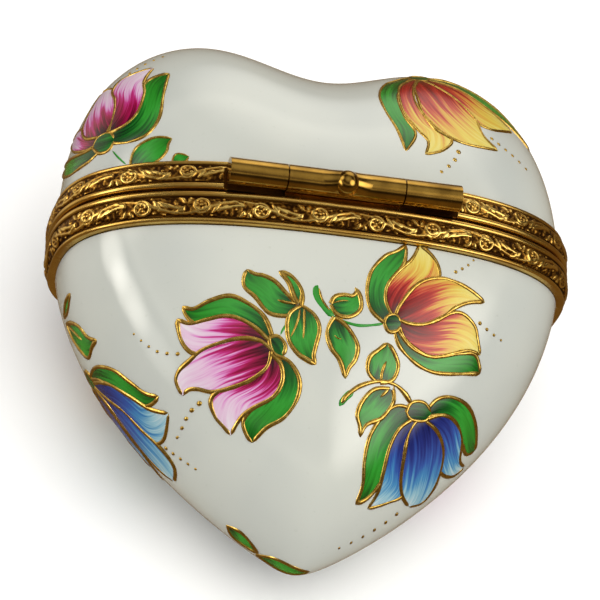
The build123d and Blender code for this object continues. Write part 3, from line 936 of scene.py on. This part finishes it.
BLUE_TULIP = {
    "sepal_left": ([(-1.0, .3), (-2.7, .4), (-4.2, -1.0), (-5.2, -3.0), (-5.4, -5.4), (-5.1, -7.9),
                    (-5.4, -9.9)],
                   [(-.9, -.5), (-1.8, -2.2), (-2.6, -4.4), (-2.9, -7.0), (-4.0, -9.0), (-5.4, -9.9)]),
    "sepal_right": ([(1.0, .3), (2.1, 1.5), (3.9, 1.8), (6.1, 1.0), (7.9, -1.0), (9.3, -3.7)],
                    [(1.2, -.4), (3.2, -.1), (5.0, -1.1), (6.5, -2.9), (7.9, -4.1), (9.3, -3.7)]),
    "petal_left": ([(-.6, -.8), (-2.0, -1.9), (-2.8, -3.9), (-3.0, -6.6), (-3.1, -8.6), (-3.8, -10.3)],
                   [(0, -1.0), (-.8, -3.2), (-.3, -6.6), (.3, -8.7), (-1.5, -9.6), (-3.8, -10.3)]),
    "petal_right": ([(1.2, -.6), (3.2, -.1), (4.9, -.8), (6.3, -2.5), (7.2, -4.8), (8.8, -5.5)],
                    [(1.1, -.8), (2.9, -3.0), (4.6, -6.0), (7.1, -6.6), (8.8, -5.5)]),
    "petal_middle": ([(0, -.8), (-.8, -2.3), (-.9, -4.7), (-.6, -7.2), (.3, -8.8), (1.9, -9.9)],
                     [(.6, -.7), (2.6, -1.8), (4.0, -3.7), (4.6, -5.9), (4.7, -8.0), (4.0, -9.5),
                      (1.9, -9.9)]),
    "calyx": ([(-1.4, -.1), (-.9, .9), (.5, 1.0), (1.5, 0)],
              [(-1.4, -.1), (-.7, -.8), (.9, -.8), (1.5, 0)]),
}
paint(Seat(-5.8, -15.5), "base", PINK_TULIP, {"petal": "pink"},
      rows=[([(-7.2, -6.3), (-8.1, -7.3), (-8.6, -8.6), (-9.0, -9.6)], 5, .27, .16)])
paint(Seat(5.6, -11.9), "base", YELLOW_TULIP, {"petal": "yellow"}, gold_width=.46,
      rows=[([(6.9, 6.3), (8.1, 7.1), (8.9, 7.9)], 4, .2, .13),
            ([(10.0, 1.4), (11.4, .7), (12.8, .2)], 4, .22, .14)])
paint(Seat(9.5, -20.0), "base", BLUE_TULIP, {"petal": "blue"}, gold_width=.46,
      rows=[([(.6, -10.8), (-1.2, -12.3), (-3.4, -13.7), (-5.4, -14.7)], 6, .22, .15)])
print("front flowers", {k: v["count"] for k, v in gathered.items()})

# %% [markdown]
# Sprays of leaves join the flowers. Their stems are thin lines of green enamel or gold, and each
# leaf has a gold rib or two.

# %% Leaves on the front of the base
PAIR_OF_LEAVES = {
    "leaf_big": ([(-.2, -.6), (-1.2, .2), (-2.6, 1.5), (-3.8, 2.0), (-4.7, 2.1), (-5.5, 2.5)],
                 [(-.3, -.7), (-.9, -1.8), (-2.1, -2.0), (-3.2, -1.7), (-4.5, -.3), (-5.6, .6),
                  (-5.8, 1.5), (-5.5, 2.5)]),
    "leaf_thin": ([(-.1, -.6), (-.6, .1), (-1.2, 1.5), (-2.3, 2.6)],
                  [(.2, -.7), (.3, .2), (-.1, 1.3), (-1.1, 2.3), (-2.3, 2.6)]),
    "leaf_low": ([(.3, -.8), (1.6, -1.6), (2.2, -2.9), (1.9, -4.9), (1.8, -5.8), (2.1, -6.6)],
                 [(.1, -.8), (-1.0, -1.9), (-.9, -4.2), (.1, -5.6), (1.1, -6.2), (2.1, -6.6)]),
}
paint(Seat(-3.9, -10.6), "base", PAIR_OF_LEAVES, {}, lines=[
    ("gold", .3, [(.1, -1.0), (-.1, -2.5), (-.7, -4.2)]),
    ("gold", .3, [(.5, -1.0), (.6, -2.7), (.6, -4.3)]),
    ("gold", .28, [(-.2, -.6), (-1.3, -.6), (-2.3, -.4)]), ("gold", .6, [(.1, .6), (.2, -.2), (.2, -1.0)]),
    ("green", .3, [(-.8, -2.2), (-1.5, -3.4), (-1.7, -4.0)])])

CURL_LEAVES = {
    "leaf_up": ([(-.6, 2.7), (-.2, 3.5), (.7, 3.8), (1.6, 3.8), (2.0, 4.3), (1.8, 4.7)],
                [(-.6, 2.6), (.2, 1.6), (1.5, 1.6), (2.5, 2.5), (2.4, 3.8), (1.8, 4.7)]),
    "leaf_down": ([(-.1, 1.3), (1.2, .5), (2.4, -1.2), (2.3, -2.7), (1.7, -3.7), (1.4, -4.8)],
                  [(-.2, 1.3), (-.8, -.2), (-.3, -1.8), (.7, -3.0), (1.4, -4.8)]),
}
paint(Seat(-.1, -13.5), "base", CURL_LEAVES, {}, lines=[
    ("green", .66, [(-.2, 1.4), (-1.2, 2.2), (-2.0, 3.2), (-2.2, 4.1), (-2.0, 4.5)]),
    ("green", .32, [(-.3, 1.5), (.9, 1.0), (2.6, .8), (5.0, 1.3)]),
    ("gold", .3, [(-.6, 1.9), (-1.5, 3.0), (-1.9, 4.2)]),
    ("gold", .22, [(-.5, 2.7), (.4, 3.1), (1.3, 3.2)]), ("gold", .2, [(-.1, -.4), (.3, -.8), (.8, -.8)])])

ARCH_LEAVES = {
    "leaf_up": ([(-.9, -.3), (-1.9, .7), (-1.8, 2.1), (-.9, 3.0), (0, 3.8)],
                [(-.5, -.3), (.8, .1), (1.3, 1.5), (.8, 2.8), (0, 3.8)]),
    "leaf_down": ([(.5, -.8), (-1.1, -1.1), (-2.2, -2.4), (-2.6, -3.8), (-2.2, -4.9), (-2.0, -6.0)],
                  [(.9, -.9), (1.1, -2.1), (.1, -3.8), (-1.5, -4.7), (-2.0, -6.0)]),
}
paint(Seat(5.5, -17.7), "base", ARCH_LEAVES, {}, gold_width=.5, lines=[
    ("green", .75, [(-4.6, -3.2), (-4.4, -2.8), (-4.0, -2.2), (-3.2, -1.4)]),
    ("gold", .52, [(-4.4, -2.9), (-3.9, -2.0), (-2.6, -.9), (-.7, -.2), (1.0, -.3), (2.2, -1.0),
                   (3.2, -2.1)]),
    ("gold", .36, [(-.4, -.3), (-.4, .8), (0, 2.0)]), ("gold", .5, [(.6, -.6), (.1, -1.3), (-.5, -1.9)]),
    ("gold", .34, [(1.0, -.5), (1.3, -2.4)])])
paint(Seat(-4.8, -31.9), "base", {
    "leaf_one": ([(-3.6, -1.4), (-2.0, -.9), (-.6, -1.7), (.4, -3.0)],
                 [(-3.6, -1.4), (-2.8, -3.0), (-1.0, -3.2), (.4, -3.0)]),
    "leaf_two": ([(.2, -3.6), (2.2, -2.0), (4.2, -2.0), (5.8, -2.9)],
                 [(.2, -3.6), (2.6, -4.2), (4.4, -4.0), (5.8, -2.9)]),
}, {})
print("leaves done")

# %% [markdown]
# A second blue tulip and a leaf wrap round the left flank. On the lid, a pink tulip wraps round the
# left lobe and a yellow one hangs over the top of the right lobe.

# %% Flank and lid
FLANK_TULIP = {
    "sepal_up": ([(-8.0, -2.8), (-7.2, -.9), (-6.0, .3), (-4.0, 1.2), (-1.3, 1.2), (.5, 1.1), (2.0, 1.6)],
                 [(-8.0, -3.2), (-6.4, -1.8), (-4.7, -1.2), (-2.0, -.5), (.6, -.4), (1.6, .5), (2.0, 1.6)]),
    "sepal_low": ([(-8.2, -4.2), (-7.6, -8.0), (-5.0, -11.4), (-1.5, -12.6), (1.2, -12.2)],
                  [(-8.0, -4.2), (-5.6, -7.4), (-3.4, -9.6), (-1.0, -10.8), (1.2, -12.2)]),
    "petal_third": ([(-7.6, -4.0), (-4.6, -4.6), (-1.2, -6.4), (1.8, -8.6), (2.4, -10.8)],
                    [(-7.6, -4.2), (-6.2, -7.4), (-3.6, -9.8), (-.6, -10.6), (2.4, -10.8)]),
    "petal_up": ([(-7.6, -3.4), (-4.8, -1.1), (-1.3, -.4), (1.3, -.3), (3.6, .4)],
                 [(-7.6, -3.6), (-4.6, -3.2), (-2.2, -2.9), (.7, -3.5), (2.7, -4.0), (3.8, -2.6),
                  (3.6, .4)]),
    "petal_low": ([(-7.8, -3.7), (-4.5, -3.2), (-2.0, -2.9), (.9, -3.5), (3.5, -4.1), (5.4, -5.5),
                   (5.3, -7.8)],
                  [(-7.8, -3.9), (-4.6, -4.2), (-1.9, -5.4), (.8, -6.9), (3.2, -7.8), (5.3, -7.8)]),
    "calyx": ([(-9.3, -3.6), (-8.8, -2.7), (-7.6, -2.8), (-7.1, -3.7)],
              [(-9.3, -3.6), (-8.8, -4.5), (-7.7, -4.6), (-7.1, -3.7)]),
}
paint(Seat(-18.1, -19.4), "base", FLANK_TULIP, {"petal": "blue"}, rows=[
    ([(4.2, -3.7), (6.0, -3.9), (8.0, -4.1)], 5, .22, .16),
    ([(2.1, 6.3), (.2, 5.7), (-1.4, 5.8), (-3.0, 6.1)], 6, .2, .12)])
paint(Seat(-23.6, -12.4), "base", {
    "leaf_one": ([(-4.6, -2.6), (-3.2, -.9), (-1.7, .1), (.1, .4), (1.5, 1.3)],
                 [(-4.6, -2.8), (-2.8, -3.0), (-.7, -2.6), (.9, -2.0), (1.2, .2), (1.5, 1.3)]),
    "leaf_two": ([(-5.4, -2.4), (-5.4, 0), (-4.8, 1.9)], [(-5.4, -2.4), (-4.6, -.6), (-4.8, 1.9)]),
}, {}, lines=[("gold", .28, [(-4.2, -2.4), (-2.4, -1.4), (-.6, -.8)])])

LID_PINK_TULIP = {
    "sepal_left": ([(-.9, -.9), (-2.6, -1.2), (-5.6, -.2), (-8.2, 2.6), (-9.0, 5.2)],
                   [(-1.2, .4), (-2.8, .6), (-5.2, 2.0), (-7.2, 3.6), (-9.0, 5.2)]),
    "sepal_right": ([(1.1, -.5), (3.1, -1.1), (4.9, -.6), (6.1, 1.4), (6.4, 4.6), (6.6, 8.4)],
                    [(.7, .9), (2.4, 1.6), (3.6, 3.3), (4.0, 6.0), (4.6, 7.8), (6.6, 8.4)]),
    "petal_third": ([(-1.0, .5), (-2.8, .9), (-5.4, 3.2), (-7.0, 6.8)],
                    [(-.8, .9), (-2.6, 3.0), (-4.2, 5.6), (-7.0, 6.8)]),
    "petal_left": ([(-.4, 1.3), (-2.7, 2.6), (-3.8, 5.2), (-3.0, 8.0), (-2.0, 10.2)],
                   [(.3, 1.3), (1.3, 3.7), (1.2, 6.3), (-.2, 9.2), (-2.0, 10.2)]),
    "petal_right": ([(.7, 1.2), (2.6, 1.5), (3.9, 2.9), (4.4, 5.6), (4.1, 7.8), (4.7, 10.2)],
                    [(.6, 1.4), (1.1, 4.0), (.9, 6.3), (.2, 8.3), (.8, 10.0), (2.6, 10.2), (4.7, 10.2)]),
    "calyx": ([(-1.5, .3), (-.8, 1.4), (.7, 1.2), (1.3, -.1)],
              [(-1.5, .3), (-.6, -1.0), (.6, -1.2), (1.3, -.1)]),
}
paint(Seat(-23.8, 7.1), "lid", LID_PINK_TULIP, {"petal": "pink"}, gold_width=.38,
      lines=[("green", .22, [(1.0, -1.4), (1.7, -2.7), (2.5, -3.9)])],
      rows=[([(1.7, 10.9), (3.1, 11.8), (4.9, 12.8)], 5, .2, .14)])
paint(Seat(-23.8, 7.1), "lid", {
    "leaf_big": ([(2.8, -4.6), (3.5, -2.3), (5.0, -1.4), (6.0, -1.3), (7.2, -1.7)],
                 [(3.4, -5.2), (5.7, -4.2), (6.6, -3.2), (6.8, -2.4), (7.2, -1.7)]),
    "leaf_bud": ([(6.9, -4.9), (7.4, -3.7), (8.5, -4.1)], [(6.9, -4.9), (8.0, -4.8), (8.5, -4.1)]),
}, {}, gold_width=.3)

LID_YELLOW_TULIP = {
    "sepal_left": ([(1.0, 4.2), (-.6, 2.9), (-1.9, 1.6), (-3.0, -1.6), (-2.8, -4.9), (-1.9, -7.9),
                    (-1.3, -10.6)],
                   [(1.2, 3.6), (-.2, .6), (-1.1, -2.1), (-.9, -5.5), (0, -7.7), (-.2, -8.9),
                    (-1.3, -10.6)]),
    "sepal_right": ([(3.2, 4.4), (7.0, 5.0), (11.2, 3.0), (14.4, -.8)],
                    [(3.0, 3.4), (6.6, 2.0), (9.6, .5), (14.4, -.8)]),
    "petal_left": ([(1.6, 3.4), (-.3, 1.0), (-.9, -1.6), (-.8, -5.1), (.3, -7.4), (1.3, -8.8), (.8, -10.6)],
                   [(1.9, 3.3), (.9, 0), (.8, -3.4), (2.2, -6.8), (4.0, -7.9), (2.9, -9.5), (.8, -10.6)]),
    "petal_right": ([(2.5, 3.3), (4.3, .8), (6.0, -1.7), (7.4, -3.8), (9.4, -3.6), (12.0, -1.3)],
                    [(3.0, 3.7), (6.7, 2.4), (8.8, .9), (10.4, -.3), (12.0, -1.3)]),
    "petal_middle": ([(2.2, 3.2), (1.2, .8), (1.1, -1.8), (1.4, -4.9), (3.0, -7.1), (5.5, -7.8),
                      (9.4, -6.7)],
                     [(2.4, 3.2), (4.0, 1.3), (5.9, -1.0), (7.3, -3.3), (7.9, -5.6), (9.4, -6.7)]),
    "calyx": ([(1.1, 4.2), (1.6, 5.1), (2.9, 5.1), (3.4, 4.1)],
              [(1.1, 4.2), (1.6, 3.3), (2.7, 3.2), (3.4, 4.1)]),
}
paint(Seat(8.1, 17.6), "lid", LID_YELLOW_TULIP, {"petal": "yellow"}, gold_width=.34, rows=[
    ([(4.6, -9.2), (3.9, -10.6), (2.4, -12.2)], 4, .26, .18),
    ([(8.9, -5.3), (10.4, -5.8), (12.8, -6.3)], 6, .2, .15)])
print("lid flowers done")

# %% [markdown]
# The far side is painted in the same way, with the same flowers turned and set clear of the foot and
# of the clasp, as a painter would who decorates a box all round.

# %% The far side
paint(Seat(13.5, -13.0, 1, 20), "base", PINK_TULIP, {"petal": "pink"})
paint(Seat(-12.5, -9.5, 1, -10, .95), "base", YELLOW_TULIP, {"petal": "yellow"})
paint(Seat(2.5, -21.5, 1, 10, .8), "base", BLUE_TULIP, {"petal": "blue"})
paint(Seat(15.5, -9.6, 1), "base", PAIR_OF_LEAVES, {})
paint(Seat(-5.0, 17.0, 1, -30), "lid", PINK_TULIP, {"petal": "pink"})
paint(Seat(16.0, 13.0, 1, -100), "lid", BLUE_TULIP, {"petal": "blue"})
paint(Seat(-17.5, 10.0, 1, 75, 0.9), "lid", YELLOW_TULIP, {"petal": "yellow"})
paint(Seat(6.5, 7.6, 1, 190, 0.9), "lid", PAIR_OF_LEAVES, {})

finishes = {"gold": (raised_gold, "polished_brass")}
finishes.update({name: (material, "glazed_porcelain") for name, material in ENAMELS.items()})
for (body, finish), pots in sorted(gathered.items()):
    material, slot = finishes[finish]
    values = {} if finish == "gold" else {k: np.concatenate(pots[k]) for k in ("along", "across", "stroke")}
    faces = np.vstack(pots["faces"])
    faces = [list(dict.fromkeys(f)) for f in faces.tolist()]
    make_piece(f"{finish}_painting_{body}", np.vstack(pots["points"]), faces, body, material,
               values, 60)

# %% [markdown]
# The barrel, the pin and the clasp are small turned and filed parts, and the shapes made for the
# working model are already right for the eye, so they are kept and only get the drawn brass. The
# rims are set on the porcelain with a thin bed of plaster, off-white and finely grained, which
# shows as a line inside the box when the lid is open.

# %% Hinge, clasp and plaster
PLASTER_GRAIN_MM = 0.25  # real grains are finer; drawn this coarse so that they show
PLASTER_STAIN_MM = 3.0

setting_plaster, tree, out = new_material("gypsum_plaster_bed_smoothed")
where = add(tree, "ShaderNodeTexCoord")
stain = add(tree, "ShaderNodeTexNoise",
            {"Vector": where.outputs["Object"], "Scale": per_mm(PLASTER_STAIN_MM), "Detail": 3.0})
plaster_tone = add(tree, "ShaderNodeValToRGB", {"Fac": stain.outputs["Fac"]},
                   stops=[(0.3, "#b9b2a0"), (0.7, "#d3cebf")])
grains = add(tree, "ShaderNodeTexNoise",
             {"Vector": where.outputs["Object"], "Scale": per_mm(PLASTER_GRAIN_MM), "Detail": 3.0})
grain = add(tree, "ShaderNodeBump",
            {"Height": grains.outputs["Fac"], "Strength": 0.5, "Distance": 0.03 * MM})
plaster = add(tree, "ShaderNodeBsdfPrincipled", {
    "Base Color": plaster_tone.outputs["Color"], "Roughness": 0.85, "Normal": grain.outputs["Normal"],
})
tree.links.new(plaster.outputs["BSDF"], out.inputs["Surface"])

kept_shapes = {
    polished_brass: ("hinge_knuckle_left", "hinge_knuckle_right", "hinge_knuckle_center",
                     "hinge_bead", "hinge_pin", "clasp_tongue", "clasp_bead"),
    setting_plaster: ("lid_setting_cement", "base_setting_cement"),
}
for material, names in kept_shapes.items():
    for name in names:
        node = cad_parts[name]
        node.data.materials.clear()
        node.data.materials.append(material)
    print(material.name, "on", len(names), "pieces")

# %% [markdown]
# The middle tube of the barrel swells on both sides of its bead, where the bead was soldered on
# and the joint filed to a smooth curve. The swelling is a skin over the tube: a grid along the
# tube and round its outer side, lifted most at the bead and not at all at its edges.

# %% The swelling under the hinge bead
TUBE_RADIUS, AXIS_OUT, AXIS_UP = 1.4, HALF_DEPTH + 1.6, 1.5
SWELL_REACH, SWELL_HEIGHT, SWELL_WIDTH, SWELL_SPREAD = 3.6, 0.42, 1.5, 75
along = np.linspace(-SWELL_REACH, SWELL_REACH, 49)[:, None]
round_tube = np.radians(np.linspace(-SWELL_SPREAD, SWELL_SPREAD, 29))[None]
lift = (np.exp(-(along / SWELL_WIDTH) ** 2) - math.exp(-(SWELL_REACH / SWELL_WIDTH) ** 2)) * np.cos(
    round_tube * 90 / SWELL_SPREAD) ** 2 * SWELL_HEIGHT
skins = []
for radius in (TUBE_RADIUS - 0.02 + lift, TUBE_RADIUS - 0.25 + 0 * lift):
    skins.append(np.stack([along + 0 * lift, -AXIS_OUT - radius * np.cos(round_tube),
                           AXIS_UP + radius * np.sin(round_tube)], -1).reshape(-1, 3))
size = lift.size
grid = np.arange(size).reshape(lift.shape)
top_quads = np.stack([grid[:-1, :-1], grid[:-1, 1:], grid[1:, 1:], grid[1:, :-1]], -1).reshape(-1, 4)
edge = np.concatenate([grid[0, :-1], grid[:-1, -1], grid[-1, :0:-1], grid[:0:-1, 0]])
edge_quads = np.stack([edge, edge + size, np.roll(edge, -1) + size, np.roll(edge, -1)], -1)
make_piece("hinge_bead_swelling", np.vstack(skins),
           np.vstack([top_quads, top_quads[:, ::-1] + size, edge_quads]),
           "base", polished_brass, crease_deg=60)

# %% [markdown]
# The box stands on white paper that fills the background, under a wide soft box that hangs nearly
# overhead. The lamp is big and weak, so that its edge hardly shows in the glaze.

# %% Lamps and paper
AIM_HEIGHT = 0.018


def way_to(azimuth, elevation):
    """The direction of a lamp, in degrees round from the front and up from the floor."""
    a, e = math.radians(azimuth), math.radians(elevation)
    return Vector((math.sin(a) * math.cos(e), -math.cos(a) * math.cos(e), math.sin(e)))


def soft_lamp(name, azimuth, elevation, distance, size, power, colour):
    """A soft rectangular lamp that points at the box and stays out of reflections."""
    light = bpy.data.lights.new(name, "AREA")
    light.shape = "RECTANGLE"
    light.size, light.size_y = size
    light.energy = power
    light.color = linear(colour)[:3]
    lamp = bpy.data.objects.new(name, light)
    lamp.location = Vector((0, 0, AIM_HEIGHT)) + way_to(azimuth, elevation) * distance
    lamp.rotation_mode = "QUATERNION"
    lamp.rotation_quaternion = way_to(azimuth, elevation).to_track_quat("Z", "Y")
    lamp.visible_glossy = False
    bpy.context.scene.collection.objects.link(lamp)


soft_lamp("overhead_box", 20, 78, 0.9, (1.2, 1.2), 2.4, "#fffcf6")

paper, tree, out = new_material("matt_white_backdrop_paper")
where = add(tree, "ShaderNodeTexCoord")
pulp = add(tree, "ShaderNodeTexNoise",
           {"Vector": where.outputs["Object"], "Scale": per_mm(30), "Detail": 2.0})
pulp_tone = add(tree, "ShaderNodeValToRGB", {"Fac": pulp.outputs["Fac"]},
                stops=[(0.2, "#fcfcfb"), (0.8, "#fefefd")])
sheet = add(tree, "ShaderNodeBsdfPrincipled", {
    "Base Color": pulp_tone.outputs["Color"], "Roughness": 0.9, "Specular IOR Level": 0.1,
})
tree.links.new(sheet.outputs["BSDF"], out.inputs["Surface"])

floor_mesh = bpy.data.meshes.new("floor")
work = bmesh.new()
bmesh.ops.create_grid(work, x_segments=8, y_segments=8, size=1.2)
work.to_mesh(floor_mesh)
work.free()
floor_mesh.materials.append(paper)
floor = bpy.data.objects.new("floor", floor_mesh)
bpy.context.scene.collection.objects.link(floor)
floor.visible_glossy = False
print("paper", tuple(round(v, 2) for v in floor.dimensions))

# %% [markdown]
# Glaze and brass look like what they mirror, so the room has two sides. For everyday light it is
# even, with a soft bright ceiling. In reflections it runs from a brown floor to a pale ceiling,
# which gives the brass its dark and bright sides, and soft patches of brightness stand for a
# window, which leaves a long streak on the left flank, and a lamp that leaves a round glare.

# %% The room seen in reflections
world = bpy.data.worlds.new("studio")
bpy.context.scene.world = world
world.use_nodes = True
tree = world.node_tree
tree.nodes.clear()
out = add(tree, "ShaderNodeOutputWorld")
ray = add(tree, "ShaderNodeLightPath")
where = add(tree, "ShaderNodeTexCoord")
height = add(tree, "ShaderNodeSeparateXYZ", {"Vector": where.outputs["Generated"]})
walls = add(tree, "ShaderNodeValToRGB", {"Fac": height.outputs["Z"]},
            stops=[(0.0, "#7c6440"), (0.14, "#66543a"), (0.3, "#2e2216"), (0.5, "#403428"),
                   (0.6, "#cfc8ba"), (0.7, "#665848"), (0.84, "#463a2c"), (1.0, "#d8d4cc")])


def soft_patch(azimuth, elevation, inner, outer, strength):
    """A round patch of brightness that fades from an inner to an outer angle in degrees."""
    facing = add(tree, "ShaderNodeVectorMath",
                 {0: where.outputs["Generated"], 1: way_to(azimuth, elevation)}, operation="DOT_PRODUCT")
    fade = add(tree, "ShaderNodeMapRange", {
        "Value": facing.outputs["Value"], "From Min": math.cos(math.radians(outer)),
        "From Max": math.cos(math.radians(inner)), "To Max": strength,
    }, interpolation_type="SMOOTHSTEP")
    return fade.outputs["Result"]


def together(lamps):
    """The brightness of several soft patches added up."""
    total = soft_patch(*lamps[0])
    for lamp in lamps[1:]:
        total = add(tree, "ShaderNodeMath", {0: total, 1: soft_patch(*lamp)},
                    operation="ADD").outputs["Value"]
    return total


REFLECTED_LAMPS = [
    (-88, 17, 0, 15, 4.6), (-74, 17, 0, 14, 4.2), (-61, 15, 0, 14, 1.6),  # the window's streak
    (57, 44, 0, 28, 3.4),  # the round glare
    (165, 30, 4, 30, 1.5),  # a pale wall behind
    (-111, 36, 0, 22, 2.6), (-120, -15, 0, 40, 0.6),  # a second window, for the left of the rims
]
even_light = add(tree, "ShaderNodeBackground", {"Color": linear("#f4f7ff"), "Strength": 0.45})
ceiling = add(tree, "ShaderNodeBackground",
              {"Color": linear("#fffcf6"), "Strength": soft_patch(20, 78, 0, 60, 1.7)})
daylight = add(tree, "ShaderNodeAddShader",
               {0: even_light.outputs["Background"], 1: ceiling.outputs["Background"]})
glow = together(REFLECTED_LAMPS)
patches = add(tree, "ShaderNodeBackground", {"Color": linear("#fffaf0"), "Strength": glow})
room = add(tree, "ShaderNodeBackground", {"Color": walls.outputs["Color"], "Strength": 1.0})
mirrored = add(tree, "ShaderNodeAddShader",
               {0: patches.outputs["Background"], 1: room.outputs["Background"]})
choice = add(tree, "ShaderNodeMixShader",
             {0: ray.outputs["Is Glossy Ray"], 1: daylight.outputs["Shader"],
              2: mirrored.outputs["Shader"]})
tree.links.new(choice.outputs["Shader"], out.inputs["Surface"])
bpy.context.scene.view_settings.view_transform = "Standard"
print("patches", len(REFLECTED_LAMPS))
